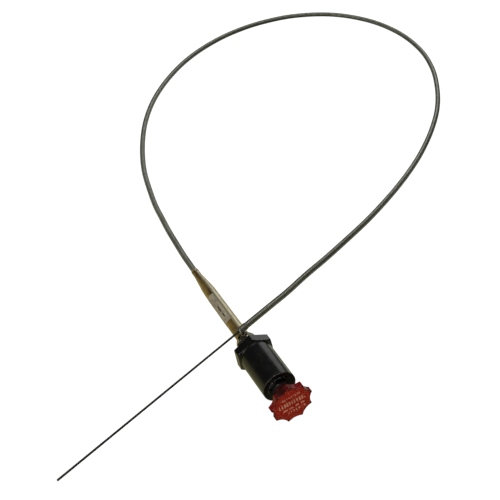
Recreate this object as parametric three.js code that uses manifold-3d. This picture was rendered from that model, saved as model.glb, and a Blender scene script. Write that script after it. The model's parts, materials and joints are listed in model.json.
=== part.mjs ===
// A push-pull engine control: a scalloped knob on a threaded plunger, a black barrel that holds the
// ball detent, a tapered guide tube, a spiral steel conduit and the wire that slides through it.
// Millimetres, +Z up. The head's axis runs along Y, with the knob towards -Y; the origin is on the
// ground under the middle of the head. Along the axis, d is the distance behind the barrel's front rim.
import * as THREE from "three";
import { mergeVertices } from "three/addons/utils/BufferGeometryUtils.js";
import Module from "manifold-3d";

const wasm = await Module();
wasm.setup();

// Driving dimensions
const GAP = 0.3;
const AXIS_X = 0.46;
const AXIS_Z = 18.12;
const RIM_Y = -72;

const KNOB = {
  tipR: 18.3, tipRound: 0.9, fluteR: 15.75, lobes: 9, phaseDeg: 21.5, front: -21.5, back: -16,
};
const NECK = { frontR: 8.6, backR: 7.5, end: -4.5 };
const INSERT = { r: 6.2, front: -19.2, back: -6 };
const STUD_R = 3.7;
const LOCK_NUT = { flats: 13, front: -4.2, back: -1.3 };
const PLUNGER = { r: 4.6, shoulder: -1, back: 88, socketR: 3.4, socketFront: 81.2 };

const BARREL = { r: 14.3, boreR: 10.5, boreBack: 36, chamfer: 0.8 };
const FLANGE = {
  flats: 30.6, front: 41, back: 48.6, cornerDeg: 41, chamfer: 1.3, reliefR: 12, relief: 0.3,
};
const NOSE = { r: 7, back: 57.4, boreR: 6, boreFront: 49.7 };
const BUSH = { r: 10.2, front: -0.8, back: 9, spannerR: 7.4, spannerHoleR: 0.9, spannerDepth: 2.5 };
const WIPER = { r: 9.8, front: 9.4, back: 12.4 };
const WASHER = { r: 10, thick: 1.2, front: 12.8, rear: 26.8 };
const CAGE = { r: 8.6, front: 14.4, back: 26.4 };
const BALL = { r: 2, count: 3, at: 20.4, pocketR: 2.35 };
const GARTER = { r: 9.8, wireR: 0.5 };
const SPRING = { r: 7.4, wireR: 0.6, front: 29, back: 35, turns: 4 };
const LOCK_WASHER = { r: 10.2, boreR: 7.3, front: 48.6, back: 50.1, teeth: 12 };
const PANEL_NUT = { flats: 19, front: 50.4, back: 56.4, cornerDeg: 41 };
const TUBE_NUT = {
  flats: 15, front: 57.7, back: 62.6, cornerDeg: 26, spigotR: 5.7, spigotFront: 50, seat: 58.4,
};

const TUBE = { start: 58.7, frontR: 5.85, midR: 5.55, taper: 134.5, neck: 157.5, neckR: 3.4, end: 165.5 };
const TUBE_BORE = { plungerEnd: 96, wireR: 4.2, taper: 126, neckR: 1.6 };
const GROOVE = { at: 162.6, halfWidth: 0.9, depth: 0.45 };
const LABEL = { front: 86, back: 123.5, r: 6.1, thick: 0.2, fromDeg: 104, toDeg: 228 };

const ANCHOR = { headR: 2.9, headFront: 81.6, headBack: 84.1, stemR: 1.8, back: 94 };
const RETAINER = { r: 3.1, boreR: 2.1, front: 84.4, back: 87.6 };
const WIRE_R = 0.9;
const FRONT_WIRE_END = 167;

const CONDUIT = { r: 2.8, boreR: 1.6, sides: 8, steps: 80 };
const FERRULE = { r: 2.95, length: 8.5, boreR: 1.6, mouthR: 1.2, lip: 1.5 };
const CORE_START = 4;
// The solid core stops short of the ferrule, so that the bare wire can draw back 50 mm into the bore.
const CORE_STOP = 57;
const WIRE_TUCKED = 3;
const WIRE_TIP = [-183.91, -71.67, 0.95];

// The conduit's route: out of the guide tube, down to the ground, once round the loop, then up in a
// long low hump over the guide tube. Its last 60 mm are straight, in line with the bare wire.
const ROUTE = [
  [0.46, 93.8, 18.12], [1.1, 118.1, 17.6], [3.2, 143.1, 15.9], [6, 168.1, 13.2], [9.8, 193, 9.9],
  [13.7, 217.9, 6.6], [18.7, 242.8, 4.2], [29.9, 290.7, 2.9], [46.3, 336.6, 2.9], [68.1, 382.4, 2.9],
  [95.2, 424.6, 2.9], [127.5, 462.5, 2.9], [165.6, 497.1, 2.9], [207.7, 524.6, 2.9],
  [252.6, 544.2, 2.9], [300.2, 554.3, 2.9], [349.2, 552.5, 2.9], [396, 532.8, 2.9],
  [428.2, 495.9, 2.9], [442.8, 450, 2.9], [441.5, 398.4, 2.9], [427.9, 351.6, 2.9],
  [406.4, 308.7, 2.9], [377.9, 265.7, 2.9], [344.2, 227.1, 2.9], [308, 192.4, 3.4], [272.7, 161.8, 7],
  [238.5, 132.9, 13.8], [203.5, 104.3, 22.1], [168.7, 77.8, 29.6], [133, 54.1, 35.2],
  [101, 35.6, 37.4], [75, 23.2, 37], [51.52, 12.62, 34.59], [32.9, 5.95, 31.93], [14.29, -0.71, 29.27],
  [-4.4, -7.4, 26.6],
];

const PAINT = {
  red: [0x8c1a14, 0.35, 0],
  black: [0x0d0e10, 0.25, 0.2],
  gold: [0xa8935a, 0.3, 0.9],
  steel: [0x8d8f8a, 0.35, 0.9],
  spiral: [0x74776a, 0.4, 0.85],
  darkWire: [0x1c1b16, 0.45, 0.8],
  springSteel: [0x55585c, 0.35, 0.9],
  felt: [0xb9ae95, 0.95, 0],
  paper: [0x9a9384, 0.6, 0.1],
};

// Shapes

// One closed body: vertices merged by place, slivers without area dropped.
function closed(geometry) {
  geometry.deleteAttribute("normal");
  geometry.deleteAttribute("uv");
  const merged = mergeVertices(geometry, 1e-4);
  const index = [];
  const old = merged.index.array;
  for (let i = 0; i < old.length; i += 3) {
    const [a, b, c] = [old[i], old[i + 1], old[i + 2]];
    if (a !== b && b !== c && c !== a) index.push(a, b, c);
  }
  merged.setIndex(index);
  return merged;
}

function toSolid(geometry) {
  const ready = closed(geometry);
  const vertProperties = new Float32Array(ready.attributes.position.array);
  const triVerts = new Uint32Array(ready.index.array);
  return new wasm.Manifold(new wasm.Mesh({ numProp: 3, vertProperties, triVerts }));
}

function toGeometry(solid) {
  const mesh = solid.getMesh();
  const geometry = new THREE.BufferGeometry();
  geometry.setAttribute("position", new THREE.BufferAttribute(new Float32Array(mesh.vertProperties), 3));
  geometry.setIndex(new THREE.BufferAttribute(new Uint32Array(mesh.triVerts), 1));
  return geometry;
}

// A turned piece about Y from [radius, d] points, with the outer wall drawn towards growing d.
function turned(profile, segments = 32) {
  const points = profile.map(([r, d]) => new THREE.Vector2(r, d));
  return closed(new THREE.LatheGeometry(points, segments));
}

function ring(inner, outer, front, back, segments) {
  return turned([[inner, front], [outer, front], [outer, back], [inner, back], [inner, front]], segments);
}

function rod(r, front, back, segments) {
  return turned([[0, front], [r, front], [r, back], [0, back]], segments);
}

// A hexagonal prism about Y with a corner at cornerDeg, measured from +X towards +Z.
function hexagon(flats, front, back, cornerDeg) {
  const r = flats / Math.sqrt(3);
  const start = THREE.MathUtils.degToRad(90 - cornerDeg);
  const prism = new THREE.CylinderGeometry(r, r, back - front, 6, 1, false, start);
  return prism.translate(0, (front + back) / 2, 0);
}

// A hexagon with its corners turned down, at both ends as a nut's are, or by other depths at the back.
function nutBlank(flats, front, back, cornerDeg, chamfer, backChamfer = chamfer) {
  const r = flats / Math.sqrt(3) + 0.1;
  const faceR = flats / 2 + 0.2;
  const turnedBlank = turned([
    [0, front], [faceR, front], [r, front + chamfer],
    [r, back - backChamfer], [faceR, back], [0, back],
  ], 48);
  return toSolid(hexagon(flats, front, back, cornerDeg)).intersect(toSolid(turnedBlank));
}

function boredNut({ flats, front, back, cornerDeg = 0 }, boreR, chamfer) {
  const bore = toSolid(rod(boreR, front - 1, back + 1, 32));
  return toGeometry(nutBlank(flats, front, back, cornerDeg, chamfer).subtract(bore));
}

// Knob group

// The knob's outline: round tips joined by hollow flutes, each arc tangent to the next.
function knobOutline() {
  const { tipR, tipRound, fluteR, lobes, phaseDeg } = KNOB;
  const half = Math.PI / lobes;
  const tipAt = tipR - tipRound;
  const hollow = (tipAt ** 2 + fluteR ** 2 - 2 * tipAt * fluteR * Math.cos(half) - tipRound ** 2)
    / (2 * (tipAt * Math.cos(half) + tipRound - fluteR));
  const hollowAt = fluteR + hollow;
  const reach = Math.atan2(tipAt * Math.sin(half), hollowAt - tipAt * Math.cos(half));
  const shape = new THREE.Shape();
  for (let k = 0; k < lobes; k++) {
    const tip = THREE.MathUtils.degToRad(phaseDeg) + 2 * half * k;
    const next = tip + half;
    const turn = half + reach;
    shape.absarc(tipAt * Math.cos(tip), tipAt * Math.sin(tip), tipRound, tip - turn, tip + turn, false);
    shape.absarc(hollowAt * Math.cos(next), hollowAt * Math.sin(next), hollow,
      next + Math.PI + reach, next + Math.PI - reach, true);
  }
  return shape;
}

function knobGeometry() {
  const bevel = 0.4;
  const disc = new THREE.ExtrudeGeometry(knobOutline(), {
    depth: KNOB.back - KNOB.front - 2 * bevel,
    curveSegments: 5,
    bevelThickness: bevel,
    bevelSize: bevel,
    bevelOffset: -bevel,
    bevelSegments: 1,
  });
  disc.rotateX(Math.PI / 2).translate(0, KNOB.back - bevel, 0);
  const neck = turned([
    [0, KNOB.back - 1], [NECK.frontR, KNOB.back - 1], [NECK.backR, NECK.end], [0, NECK.end],
  ], 40);
  const socket = rod(INSERT.r + GAP, INSERT.front - GAP, INSERT.back + GAP, 32);
  const mouth = rod(STUD_R + GAP, INSERT.back, NECK.end + 1, 32);
  return toGeometry(toSolid(disc).add(toSolid(neck)).subtract(toSolid(socket)).subtract(toSolid(mouth)));
}

function plungerGeometry() {
  const { r, shoulder, back, socketR, socketFront } = PLUNGER;
  return turned([
    [0, INSERT.front + GAP], [STUD_R - 0.5, INSERT.front + GAP], [STUD_R, INSERT.front + 0.8],
    [STUD_R, shoulder], [r, shoulder], [r, back], [socketR, back], [socketR, socketFront], [0, socketFront],
  ]);
}

function insertGeometry() {
  return ring(STUD_R + GAP, INSERT.r, INSERT.front, INSERT.back, 24);
}

// Barrel group

function barrelGeometry() {
  const { r, chamfer, boreR, boreBack } = BARREL;
  const plungerBore = PLUNGER.r + GAP;
  const body = turned([
    [0, 0], [r - chamfer, 0], [r, chamfer], [r, FLANGE.front + 1], [NOSE.r, FLANGE.front + 1],
    [NOSE.r, NOSE.back - 0.6], [NOSE.r - 0.6, NOSE.back], [0, NOSE.back],
  ], 56);
  const bore = turned([
    [0, -1], [boreR, -1], [boreR, boreBack], [plungerBore, boreBack], [plungerBore, NOSE.boreFront],
    [NOSE.boreR, NOSE.boreFront], [NOSE.boreR, NOSE.back + 1], [0, NOSE.back + 1],
  ], 40);
  const flange = nutBlank(FLANGE.flats, FLANGE.front, FLANGE.back, FLANGE.cornerDeg, FLANGE.chamfer, 0);
  const relief = ring(NOSE.r, FLANGE.reliefR, FLANGE.back - FLANGE.relief, FLANGE.back + 1, 48);
  return toGeometry(toSolid(body).add(flange).subtract(toSolid(bore)).subtract(toSolid(relief)));
}

// The screwed front bush: a collar just proud of the barrel, with two holes for a pin spanner.
function bushGeometry() {
  const { r, front, back, spannerR, spannerHoleR, spannerDepth } = BUSH;
  const bore = PLUNGER.r + GAP;
  const blank = turned([
    [bore, front + 0.5], [bore + 0.5, front], [r - 0.5, front], [r, front + 0.5],
    [r, back], [bore, back], [bore, front + 0.5],
  ], 40);
  let bush = toSolid(blank);
  for (const side of [-1, 1]) {
    const hole = rod(spannerHoleR, front - 1, front + spannerDepth, 16);
    bush = bush.subtract(toSolid(hole.translate(side * spannerR, 0, 0)));
  }
  return toGeometry(bush);
}

function ballAngle(k) {
  return Math.PI / 2 + (2 * Math.PI * k) / BALL.count;
}

function cageGeometry() {
  const bore = PLUNGER.r + GAP;
  let cage = toSolid(ring(bore, CAGE.r, CAGE.front, CAGE.back, 36));
  for (let k = 0; k < BALL.count; k++) {
    const pocket = new THREE.CylinderGeometry(BALL.pocketR, BALL.pocketR, CAGE.r, 20);
    pocket.translate(0, CAGE.r, 0).rotateX(Math.PI / 2).rotateY(ballAngle(k));
    cage = cage.subtract(toSolid(pocket.translate(0, BALL.at, 0)));
  }
  return toGeometry(cage);
}

function ballGeometry() {
  return closed(new THREE.SphereGeometry(BALL.r, 14, 10));
}

function garterGeometry() {
  const loop = [];
  const sides = 6;
  for (let i = 0; i <= sides; i++) {
    const a = (2 * Math.PI * (i % sides)) / sides;
    loop.push([GARTER.r + GARTER.wireR * Math.sin(a), BALL.at - GARTER.wireR * Math.cos(a)]);
  }
  return turned(loop, 30);
}

class Helix extends THREE.Curve {
  getPoint(t, target = new THREE.Vector3()) {
    const a = 2 * Math.PI * SPRING.turns * t;
    const y = SPRING.front + SPRING.wireR + (SPRING.back - SPRING.front - 2 * SPRING.wireR) * t;
    return target.set(SPRING.r * Math.cos(a), y, SPRING.r * Math.sin(a));
  }
}

function circle(r, sides) {
  const shape = new THREE.Shape();
  for (let i = 0; i < sides; i++) {
    const a = (2 * Math.PI * i) / sides;
    if (i === 0) shape.moveTo(r, 0);
    else shape.lineTo(r * Math.cos(a), r * Math.sin(a));
  }
  shape.closePath();
  return shape;
}

function springGeometry() {
  const section = circle(SPRING.wireR, 6);
  const path = new Helix();
  return closed(new THREE.ExtrudeGeometry(section, { steps: SPRING.turns * 14, extrudePath: path }));
}

// An external-tooth lock washer: a flat ring with notches round its edge.
function lockWasherGeometry() {
  const { r, boreR, front, back, teeth } = LOCK_WASHER;
  let washer = toSolid(ring(boreR, r, front, back, 48));
  for (let k = 0; k < teeth; k++) {
    const notch = new THREE.BoxGeometry(1.4, 3, 2.4);
    notch.translate(0, (front + back) / 2, r).rotateY((2 * Math.PI * (k + 0.5)) / teeth);
    washer = washer.subtract(toSolid(notch));
  }
  return toGeometry(washer);
}

// The nut that holds the guide tube: a small hexagon with a spigot screwed into the barrel's nose.
function tubeNutGeometry() {
  const { flats, front, back, cornerDeg, spigotR, spigotFront, seat } = TUBE_NUT;
  const plungerBore = PLUNGER.r + GAP;
  const spigot = toSolid(rod(spigotR, spigotFront, front + 1, 40));
  const bore = toSolid(rod(plungerBore, spigotFront - 1, back + 1, 32));
  const socket = toSolid(rod(TUBE.frontR + GAP, seat, back + 1, 40));
  const blank = nutBlank(flats, front, back, cornerDeg, 0.7).add(spigot);
  return toGeometry(blank.subtract(bore).subtract(socket));
}

// Guide tube

function tubeGeometry() {
  const { start, frontR, midR, taper, neck, neckR, end } = TUBE;
  const { at, halfWidth, depth } = GROOVE;
  const plungerBore = PLUNGER.r + GAP;
  return turned([
    [plungerBore, start], [frontR, start], [frontR, start + 6], [midR, taper], [neckR, neck],
    [neckR, at - halfWidth], [neckR - depth, at], [neckR, at + halfWidth], [neckR - 0.2, end],
    [TUBE_BORE.neckR, end], [TUBE_BORE.neckR, neck], [TUBE_BORE.wireR - 0.3, TUBE_BORE.taper],
    [TUBE_BORE.wireR, TUBE_BORE.plungerEnd + 2], [plungerBore, TUBE_BORE.plungerEnd], [plungerBore, start],
  ], 40);
}

// A curved plate that wraps part of the way round the guide tube.
function labelGeometry() {
  const from = THREE.MathUtils.degToRad(LABEL.fromDeg);
  const to = THREE.MathUtils.degToRad(LABEL.toDeg);
  const shape = new THREE.Shape();
  shape.absarc(0, 0, LABEL.r, from, to, false);
  shape.absarc(0, 0, LABEL.r + LABEL.thick, to, from, true);
  const plate = new THREE.ExtrudeGeometry(shape, {
    depth: LABEL.back - LABEL.front,
    curveSegments: 12,
    bevelEnabled: false,
  });
  plate.rotateX(Math.PI / 2).translate(0, LABEL.back, 0);
  return closed(plate);
}

// Wire and conduit

const route = new THREE.CatmullRomCurve3(ROUTE.map((p) => new THREE.Vector3(...p)), false, "centripetal");
route.arcLengthDivisions = 2000;
const ROUTE_LENGTH = route.getLength();
const END = new THREE.Vector3(...ROUTE[ROUTE.length - 1]);
const TOWARDS_TIP = new THREE.Vector3(...WIRE_TIP).sub(END);
const WIRE_OUT = TOWARDS_TIP.length();
TOWARDS_TIP.normalize();

// The stretch of the route between two distances from its start.
class Stretch extends THREE.Curve {
  constructor(from, to) {
    super();
    this.from = from;
    this.to = to;
  }

  getPoint(t, target = new THREE.Vector3()) {
    const along = this.from + (this.to - this.from) * t;
    return route.getPointAt(Math.min(along / ROUTE_LENGTH, 1), target);
  }
}

function conduitGeometry() {
  const section = circle(CONDUIT.r, CONDUIT.sides);
  section.holes.push(circle(CONDUIT.boreR, CONDUIT.sides));
  const path = new Stretch(0, ROUTE_LENGTH - FERRULE.length - GAP);
  return closed(new THREE.ExtrudeGeometry(section, { steps: CONDUIT.steps, extrudePath: path }));
}

function coreGeometry() {
  const path = new Stretch(CORE_START, ROUTE_LENGTH - CORE_STOP);
  const section = circle(WIRE_R, 6);
  return closed(new THREE.ExtrudeGeometry(section, { steps: CONDUIT.steps, extrudePath: path }));
}

// Turned about Y from its mouth at 0 back to its length, to be aimed along the wire.
function ferruleGeometry() {
  const { r, length, boreR, mouthR, lip } = FERRULE;
  return turned([
    [mouthR, 0], [r - 0.6, 0], [r, 0.6], [r, length],
    [boreR, length], [boreR, lip], [mouthR, lip], [mouthR, 0],
  ], 28);
}

function anchorGeometry() {
  const { headR, headFront, headBack, stemR, back } = ANCHOR;
  return turned([
    [0, headFront], [headR, headFront], [headR, headBack], [stemR, headBack], [stemR, back], [0, back],
  ], 24);
}

// Assembly

function mesh(name, geometry, [color, roughness, metalness]) {
  const piece = new THREE.Mesh(geometry, new THREE.MeshStandardMaterial({ color, roughness, metalness }));
  piece.name = name;
  return piece;
}

function knobGroup() {
  const group = new THREE.Group();
  const bore = STUD_R + GAP;
  const retainer = ring(RETAINER.boreR, RETAINER.r, RETAINER.front, RETAINER.back, 24);
  group.add(
    mesh("knob", knobGeometry(), PAINT.red),
    mesh("knob_insert", insertGeometry(), PAINT.gold),
    mesh("knob_lock_nut", boredNut(LOCK_NUT, bore, 0.6), PAINT.black),
    mesh("plunger", plungerGeometry(), PAINT.steel),
    mesh("swivel_retainer", retainer, PAINT.steel),
  );
  return group;
}

function barrelGroup() {
  const group = new THREE.Group();
  const bore = PLUNGER.r + GAP;
  const frontWasher = ring(bore, WASHER.r, WASHER.front, WASHER.front + WASHER.thick, 28);
  const rearWasher = ring(bore, WASHER.r, WASHER.rear, WASHER.rear + WASHER.thick, 28);
  group.add(
    mesh("barrel", barrelGeometry(), PAINT.black),
    mesh("front_bush", bushGeometry(), PAINT.black),
    mesh("wiper_ring", ring(bore, WIPER.r, WIPER.front, WIPER.back, 28), PAINT.felt),
    mesh("front_thrust_washer", frontWasher, PAINT.steel),
    mesh("ball_cage", cageGeometry(), PAINT.gold),
    mesh("garter_spring", garterGeometry(), PAINT.springSteel),
    mesh("rear_thrust_washer", rearWasher, PAINT.steel),
    mesh("preload_spring", springGeometry(), PAINT.springSteel),
    mesh("lock_washer", lockWasherGeometry(), PAINT.steel),
    mesh("panel_nut", boredNut(PANEL_NUT, NOSE.r + GAP, 0.9), PAINT.gold),
    mesh("tube_nut", tubeNutGeometry(), PAINT.gold),
  );
  for (let k = 0; k < BALL.count; k++) {
    const ball = mesh(`detent_ball_${k + 1}`, ballGeometry(), PAINT.steel);
    const out = PLUNGER.r + GAP + BALL.r;
    ball.position.set(out * Math.sin(ballAngle(k)), BALL.at, out * Math.cos(ballAngle(k)));
    group.add(ball);
  }
  return group;
}

function tubeGroup() {
  const group = new THREE.Group();
  group.add(
    mesh("guide_tube", tubeGeometry(), PAINT.gold),
    mesh("data_label", labelGeometry(), PAINT.paper),
    mesh("wire_anchor", anchorGeometry(), PAINT.steel),
    mesh("front_wire", rod(WIRE_R, ANCHOR.back + GAP, FRONT_WIRE_END, 8), PAINT.darkWire),
  );
  return group;
}

function conduitGroup() {
  const group = new THREE.Group();
  group.add(
    mesh("conduit", conduitGeometry(), PAINT.spiral),
    mesh("conduit_core", coreGeometry(), PAINT.darkWire),
  );
  const end = new THREE.Group();
  end.position.copy(END);
  end.quaternion.setFromUnitVectors(new THREE.Vector3(0, -1, 0), TOWARDS_TIP);
  end.add(
    mesh("end_ferrule", ferruleGeometry(), PAINT.steel),
    mesh("exposed_wire", rod(WIRE_R, -WIRE_OUT, WIRE_TUCKED, 16), PAINT.darkWire),
  );
  group.add(end);
  return group;
}

const head = new THREE.Group();
head.position.set(AXIS_X, RIM_Y, AXIS_Z);
head.add(knobGroup(), barrelGroup(), tubeGroup());

const control = new THREE.Group();
control.add(head, conduitGroup());

export default control;
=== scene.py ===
"""Builds the shown surfaces and finishes of a push-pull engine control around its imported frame."""

import json

import bpy
import numpy as np
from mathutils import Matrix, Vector

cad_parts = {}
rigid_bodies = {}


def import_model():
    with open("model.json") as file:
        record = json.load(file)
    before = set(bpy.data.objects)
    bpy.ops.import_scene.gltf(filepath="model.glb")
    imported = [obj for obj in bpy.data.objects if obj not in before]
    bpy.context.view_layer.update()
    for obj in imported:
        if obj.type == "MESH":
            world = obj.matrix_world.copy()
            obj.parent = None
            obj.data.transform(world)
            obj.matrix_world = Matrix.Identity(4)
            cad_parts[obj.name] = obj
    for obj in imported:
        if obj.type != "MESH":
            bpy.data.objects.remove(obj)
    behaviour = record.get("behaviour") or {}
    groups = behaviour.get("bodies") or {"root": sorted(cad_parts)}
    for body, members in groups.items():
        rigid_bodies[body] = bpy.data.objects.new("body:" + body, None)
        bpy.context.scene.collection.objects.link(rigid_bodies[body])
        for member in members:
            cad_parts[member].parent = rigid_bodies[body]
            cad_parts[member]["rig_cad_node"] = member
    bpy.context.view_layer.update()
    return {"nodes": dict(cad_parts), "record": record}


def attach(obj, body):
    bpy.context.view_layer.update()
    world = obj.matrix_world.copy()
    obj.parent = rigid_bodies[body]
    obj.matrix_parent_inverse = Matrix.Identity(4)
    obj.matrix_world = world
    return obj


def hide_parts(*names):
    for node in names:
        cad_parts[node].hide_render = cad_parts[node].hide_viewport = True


bl_info = {
    "name": "Push-Pull Engine Control",
    "version": (1, 0, 0),
    "blender": (4, 5, 0),
    "location": "3D View > Sidebar > Control",
    "description": "Builds the knob, barrel, guide tube, conduit and wire of a push-pull control",
    "category": "Object",
}

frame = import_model()

# Profiles are in millimetres, from the barrel's rim along the head's axis and out from it, until
# place() makes metres of them. Angles about the axis are in degrees where they are plain numbers.
MM = 0.001
AXIS_X = 0.46
AXIS_Z = 18.12
RIM_Y = -72
FLANGE_FRONT = 41
FLANGE_BACK = 48.6
FLANGE_CORNER = 41
TAPER_FRONT = 64.7
TAPER_BACK = 134.5
GROOVE = 162.2
# Angle of the upper-left flute whose wall is darkened as painted shade, for the barrel's shadow on
# it.
SHADED_FLUTE = 121.5
ROWS_PER_TURN = 6

# The conduit's centreline, from the guide tube's end, once round the loop, to the free end.
ROUTE = np.array([
    [0.46, 93.8, 18.12], [1.1, 118.1, 17.6], [3.2, 143.1, 15.9], [6, 168.1, 13.2], [9.8, 193, 9.9],
    [13.7, 217.9, 6.6], [18.7, 242.8, 4.2], [29.9, 290.7, 2.9], [46.3, 336.6, 2.9],
    [68.1, 382.4, 2.9], [95.2, 424.6, 2.9], [127.5, 462.5, 2.9], [165.6, 497.1, 2.9],
    [207.7, 524.6, 2.9], [252.6, 544.2, 2.9], [300.2, 554.3, 2.9], [349.2, 552.5, 2.9],
    [396, 532.8, 2.9], [428.2, 495.9, 2.9], [442.8, 450, 2.9], [441.5, 398.4, 2.9],
    [427.9, 351.6, 2.9], [406.4, 308.7, 2.9], [377.9, 265.7, 2.9], [344.2, 227.1, 2.9],
    [308, 192.4, 3.4], [272.7, 161.8, 7], [238.5, 132.9, 13.8], [203.5, 104.3, 22.1],
    [168.7, 77.8, 29.6], [133, 54.1, 35.2], [101, 35.6, 37.4], [75, 23.2, 37],
    [51.52, 12.62, 34.59], [32.9, 5.95, 31.93], [14.29, -0.71, 29.27], [-4.4, -7.4, 26.6],
])
WIRE_TIP = np.array([-183.91, -71.67, 0.95])
WIRE_TUCKED = 3
CONDUIT_IN_TUBE = 5
CONDUIT_SHORT_OF_MOUTH = 2.5
ROUTE_STEP = 0.8
# Centre of the painted shade on the loop's top, and where the painted shade starts on the last
# stretch.
LOOP_TOP = 660
LAST_STRETCH = 1180
BORE_ROWS = 140

NOISE_ROUGHNESS = 0.55
TURNED = (0.2, 3, 0.2)

CAMERA_AT = (-0.29804, -0.62596, 0.62337)
CAMERA_TARGET = (0.069276, 0.120863, 0.000378)
CAMERA_LENS = 79.2
CAMERA_SENSOR = 36
WORLD_STRENGTH = 0.04
PALE_CARD = (0.68, 0.70, 0.60)
HEAD = (0, -0.03, 0.02)
# Name, place, target, size, radiance and tint of each lamp.
LAMPS = (
    ("overhead", (0.1, 0.22, 2.0), (0.1, 0.1, 0), (2.0, 1.1), 2.3, (1, 1, 1)),
    ("beyond", (0.80, 1.00, 0.55), HEAD, (0.55, 0.80), 0.98, (1.0, 1.0, 0.98)),
    ("front", (-1.20, -1.05, 0.30), HEAD, (1.0, 0.9), 5.2, (1.0, 0.97, 0.92)),
)


# Settings

def length(name, millimetres, description):
    """A length that is given in millimetres and kept in metres."""
    return bpy.props.FloatProperty(
        name=name, description=description, default=millimetres * MM, min=0, precision=4,
        unit="LENGTH",
    )


def colour(name, default, description):
    return bpy.props.FloatVectorProperty(
        name=name, description=description, default=default, size=3, min=0, max=1, subtype="COLOR",
    )


class KnobSettings(bpy.types.PropertyGroup):
    tip_radius: length("Tip radius", 18.3, "From the axis to the tips of the lobes")
    tip_round: length("Tip rounding", 0.9, "Radius of each lobe's rounded tip")
    flute_radius: length("Flute radius", 15.75, "From the axis to the bottom of the flutes")
    lobes: bpy.props.IntProperty(name="Lobes", description="How many lobes", default=9, min=3)
    phase: bpy.props.FloatProperty(
        name="Turn", description="Where the first lobe stands", default=np.radians(21.5),
        subtype="ANGLE",
    )
    reach: length("Reach", 21.5, "From the barrel's rim to the knob's face")
    thickness: length("Disc thickness", 5.5, "Thickness of the lobed disc")
    mark_height: length("Mark height", 0.3, "How far the raised bars stand out of the face")
    # One red plastic: the body's darker red is partly painted shade for its walls and neck, and the
    # face's lighter red partly fade.
    body: colour("Body", (0.26, 0.006, 0.006), "Moulded red plastic")
    face: colour("Face", (0.61, 0.023, 0.008), "The worn and faded front face")
    marks: colour("Marks", (0.95, 0.42, 0.26), "Tops of the raised bars, rubbed pale")


class BarrelSettings(bpy.types.PropertyGroup):
    radius: length("Barrel radius", 14.3, "Outside radius of the barrel")
    flange_flats: length("Flange flats", 30.6, "Across the flats of the panel flange")
    flange_chamfer: length("Flange chamfer", 1.3, "Turned chamfer on the flange's front")
    black: colour("Black finish", (0.003, 0.003, 0.0034), "Gloss black finish")
    bare: colour("Bare metal", (0.30, 0.29, 0.26), "Metal where the finish has rubbed off")


class PlungerSettings(bpy.types.PropertyGroup):
    radius: length("Plunger radius", 4.6, "Outside radius of the threaded plunger")
    pitch: length("Thread pitch", 1.06, "Distance from thread to thread")
    depth: length("Thread depth", 0.5, "Depth of the thread")
    steel: colour("Steel", (0.42, 0.41, 0.39), "Turned and oiled steel")


class TubeSettings(bpy.types.PropertyGroup):
    front_radius: length("Front radius", 5.85, "Outside radius at the tube nut")
    middle_radius: length("Middle radius", 5.55, "Outside radius where the steeper taper starts")
    neck_radius: length("Neck radius", 3.4, "Outside radius where the conduit goes in")
    # The pale plate and the darker aged plate are one plate, lit and shaded: the pale one is painted
    # highlight on the tube's right side, the darker one painted shade on the rest.
    plate: colour("Yellow plate", (0.66, 0.59, 0.38), "Pale yellow plate where it is clean")
    shaded_plate: colour("Shaded plate", (0.62, 0.42, 0.12), "The side that has yellowed and been handled")
    # The tarnish colour also paints the dark band along the tube's middle as painted shade.
    tarnish: colour("Tarnish", (0.13, 0.07, 0.02), "Brown tarnish on the plate")
    label: colour("Label", (0.60, 0.53, 0.38), "Blank grey-beige label")
    ink: colour("Dashes", (0.02, 0.018, 0.012), "Two plain dashes on the label")


class ConduitSettings(bpy.types.PropertyGroup):
    diameter: length("Conduit diameter", 5.6, "Outside diameter of the spiral conduit")
    bore: length("Conduit bore", 3.2, "Inside diameter of the spiral conduit")
    pitch: length("Spiral pitch", 1.6, "Width of the wound wire")
    ridge: length("Ridge height", 0.3, "Depth of the groove between two turns")
    wire: length("Wire diameter", 1.8, "Diameter of the solid inner wire")
    steel: colour("Spiral steel", (0.47, 0.48, 0.41), "Close-wound steel, dulled by oil")
    # The darker copy of the same steel, painted shade on the loop's top and on the last stretch.
    shaded_steel: colour("Shaded steel", (0.32, 0.33, 0.26), "The same steel where it is gripped")
    dark: colour("Dark wire", (0.009, 0.008, 0.006), "Dark drawn wire")


class StageSettings(bpy.types.PropertyGroup):
    floor: colour("Floor", (0.3, 0.3, 0.3), "What the floor shows of the lamps")
    glow: colour("Floor glow", (1.0, 1.0, 1.0), "Even light of the pale floor itself")
    mirrored: colour("Mirrored floor", (0.35, 0.33, 0.15), "What the floor gives the object")
    strength: bpy.props.FloatProperty(
        name="Light", description="Strength of every light together", default=1, min=0,
    )


class ControlSettings(bpy.types.PropertyGroup):
    knob: bpy.props.PointerProperty(type=KnobSettings)
    barrel: bpy.props.PointerProperty(type=BarrelSettings)
    plunger: bpy.props.PointerProperty(type=PlungerSettings)
    tube: bpy.props.PointerProperty(type=TubeSettings)
    conduit: bpy.props.PointerProperty(type=ConduitSettings)
    stage: bpy.props.PointerProperty(type=StageSettings)


def mm(value):
    return value / MM


# Surfaces

def place(side, along, up, origin=(AXIS_X, RIM_Y, AXIS_Z), axes=np.eye(3)):
    """Metres in the row frame: origin + side*axes[0] + along*axes[1] + up*axes[2]."""
    side, along, up = np.broadcast_arrays(side, along, up)
    return (np.asarray(origin) + np.stack([side, along, up], axis=-1) @ np.asarray(axes)) * MM


def net(rows, columns, wrap_rows=False, wrap_columns=True):
    """Quads between neighbouring rows and columns of a grid of points."""
    i, j = np.meshgrid(
        np.arange(rows if wrap_rows else rows - 1),
        np.arange(columns if wrap_columns else columns - 1),
        indexing="ij",
    )
    below, right = (i + 1) % rows, (j + 1) % columns
    corners = [i * columns + j, below * columns + j, below * columns + right, i * columns + right]
    return np.stack(corners, axis=-1).reshape(-1, 4)


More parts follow.
